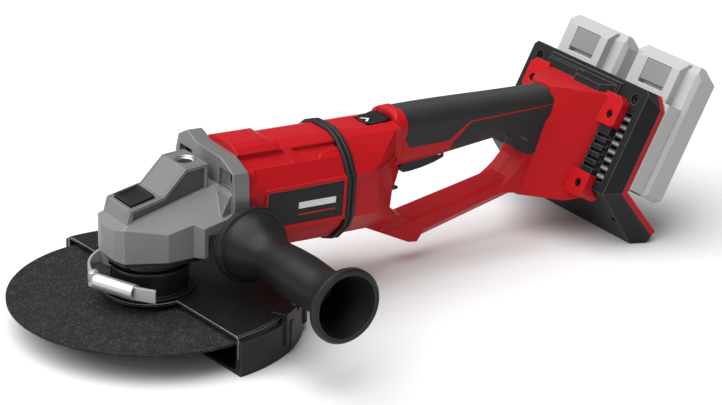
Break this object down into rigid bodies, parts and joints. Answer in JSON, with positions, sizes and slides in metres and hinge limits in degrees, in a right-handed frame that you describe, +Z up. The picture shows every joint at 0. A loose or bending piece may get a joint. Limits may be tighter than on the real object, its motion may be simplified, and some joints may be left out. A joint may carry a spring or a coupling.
{
  "type": "angle grinder",
  "caption": "Large cordless angle grinder with a clip-on guard cover, side handle, swivelling D-shaped rear handle and slide-in battery packs behind a sloping frame.",
  "frame": {"origin": "middle of the object's box, on the floor it rests on", "axes": "+X from the gear head to the batteries, +Z up, -Y towards the side handle"},
  "size_m": [0.6287, 0.3182, 0.1543],
  "materials": {
    "cast_grey": "satin casting",
    "steel": "machined",
    "black_screws": "black oxide",
    "bright_steel": "bright plated",
    "black_steel": "black satin coat",
    "disc_fibre": "bonded abrasive",
    "black_plastic": "fine texture",
    "red_plastic": "satin",
    "soft_rubber": "soft touch",
    "copper": "enamelled wire",
    "board": "laminate",
    "pack_plastic": "pale, faintly frosted",
    "pack_button": "fine texture",
    "cell_sleeve": "shrink sleeve"
  },
  "bodies": {
    "motor_body": {"gear_housing": "cast_grey", "gear_housing_screws": "steel", "bearing_flange": "black_steel", "bearing_flange_screws": "steel", "spindle_bearing_lower": "steel", "spindle_bearing_upper": "steel", "motor_housing": "red_plastic", "side_badges": "black_plastic", "stator_core": "steel", "stator_windings": "copper", "motor_bearings": "steel", "motor_end_plate": "black_plastic", "swivel_ring_front": "black_plastic"},
    "spindle": {"spindle": "steel", "crown_gear": "steel", "inner_flange": "steel", "cutting_disc": "disc_fibre", "clamping_nut": "steel"},
    "rotor": {"drive_pinion": "steel", "motor_shaft": "steel", "rotor_core": "steel", "cooling_fan": "black_plastic"},
    "lock_button": {"lock_button": "black_plastic", "lock_pin": "steel", "lock_spring": "steel"},
    "guard": {"guard_shell": "black_steel", "guard_collar": "black_steel", "guard_cover": "black_plastic", "clamp_link": "bright_steel", "clamp_pin": "steel"},
    "clamp_lever": {"clamp_lever": "bright_steel"},
    "side_handle": {"side_handle_grip": "black_plastic", "side_handle_stud": "steel"},
    "rear_handle": {"rear_shell_left": "red_plastic", "rear_shell_right": "red_plastic", "grip_sleeve": "soft_rubber", "grip_pad": "soft_rubber", "shell_screws": "steel", "swivel_ring_rear": "black_plastic", "switch_module": "black_plastic", "controller_board": "board", "battery_frame": "black_plastic", "battery_back": "red_plastic", "vent_grilles": "black_plastic", "frame_screws": "black_screws", "dock_rails": "black_plastic", "battery_terminals": "copper", "trigger_pin": "steel", "trigger_spring": "steel", "lock_off_spring": "steel"},
    "trigger": {"trigger": "black_plastic"},
    "lock_off_button": {"lock_off_button": "black_plastic"},
    "swivel_button": {"swivel_button": "black_plastic", "swivel_button_spring": "steel"},
    "pack_left": {"pack_left_case": "pack_plastic", "pack_left_cells": "cell_sleeve"},
    "pack_right": {"pack_right_case": "pack_plastic", "pack_right_cells": "cell_sleeve"},
    "latch_left": {"pack_left_latch": "pack_button"},
    "latch_right": {"pack_right_latch": "pack_button"}
  },
  "joints": [
    {"name": "spindle_spin", "type": "hinge", "parent": "motor_body", "child": "spindle", "pos_m": [-0.19937, 0.0347, 0.06], "axis": [0, 0, 1], "continuous": true},
    {"name": "rotor_spin", "type": "hinge", "parent": "motor_body", "child": "rotor", "pos_m": [-0.19937, 0.0347, 0.0983], "axis": [0.9986, 0, -0.0523], "continuous": true},
    {"name": "lock_press", "type": "slide", "parent": "motor_body", "child": "lock_button", "axis": [0, 0, -1], "range_m": [0, 0.0035], "stiffness_N_per_m": 500, "springref_m": -0.003, "deforming": ["lock_spring"]},
    {"name": "guard_turn", "type": "hinge", "parent": "motor_body", "child": "guard", "pos_m": [-0.19937, 0.0347, 0.04], "axis": [0, 0, 1], "range_deg": [-80, 60]},
    {"name": "lever_open", "type": "hinge", "parent": "guard", "child": "clamp_lever", "pos_m": [-0.24687, 0.0417, 0.045], "axis": [0, 0, -1], "range_deg": [0, 100]},
    {"name": "side_handle_unscrew", "type": "slide", "parent": "motor_body", "child": "side_handle", "axis": [0, -1, 0], "range_m": [0, 0.022]},
    {"name": "handle_swivel", "type": "hinge", "parent": "motor_body", "child": "rear_handle", "pos_m": [-0.0326, 0.0347, 0.08956], "axis": [0.9986, 0, -0.0523], "range_deg": [-90, 90]},
    {"name": "trigger_pull", "type": "hinge", "parent": "rear_handle", "child": "trigger", "pos_m": [0.07513, 0.0347, 0.096], "axis": [0, 1, 0], "range_deg": [0, 7], "stiffness_Nm_per_rad": 0.6, "springref_deg": -14.32},
    {"name": "lock_off_slide", "type": "slide", "parent": "rear_handle", "child": "lock_off_button", "axis": [-1, 0, 0], "range_m": [0, 0.003], "stiffness_N_per_m": 300, "springref_m": -0.003},
    {"name": "swivel_release", "type": "slide", "parent": "rear_handle", "child": "swivel_button", "axis": [0, 0, -1], "range_m": [0, 0.003], "stiffness_N_per_m": 500, "springref_m": -0.003, "deforming": ["swivel_button_spring"]},
    {"name": "pack_left_slide", "type": "slide", "parent": "rear_handle", "child": "pack_left", "axis": [0.4695, 0, 0.8829], "range_m": [0, 0.09]},
    {"name": "pack_right_slide", "type": "slide", "parent": "rear_handle", "child": "pack_right", "axis": [0.4695, 0, 0.8829], "range_m": [0, 0.09]},
    {"name": "latch_left_press", "type": "slide", "parent": "pack_left", "child": "latch_left", "axis": [-0.4695, 0, -0.8829], "range_m": [0, 0.003], "stiffness_N_per_m": 300, "springref_m": -0.003},
    {"name": "latch_right_press", "type": "slide", "parent": "pack_right", "child": "latch_right", "axis": [-0.4695, 0, -0.8829], "range_m": [0, 0.003], "stiffness_N_per_m": 300, "springref_m": -0.003}
  ],
  "couplings": [
    {"joint": "rotor_spin", "follows": "spindle_spin", "ratio": 3.5}
  ]
}
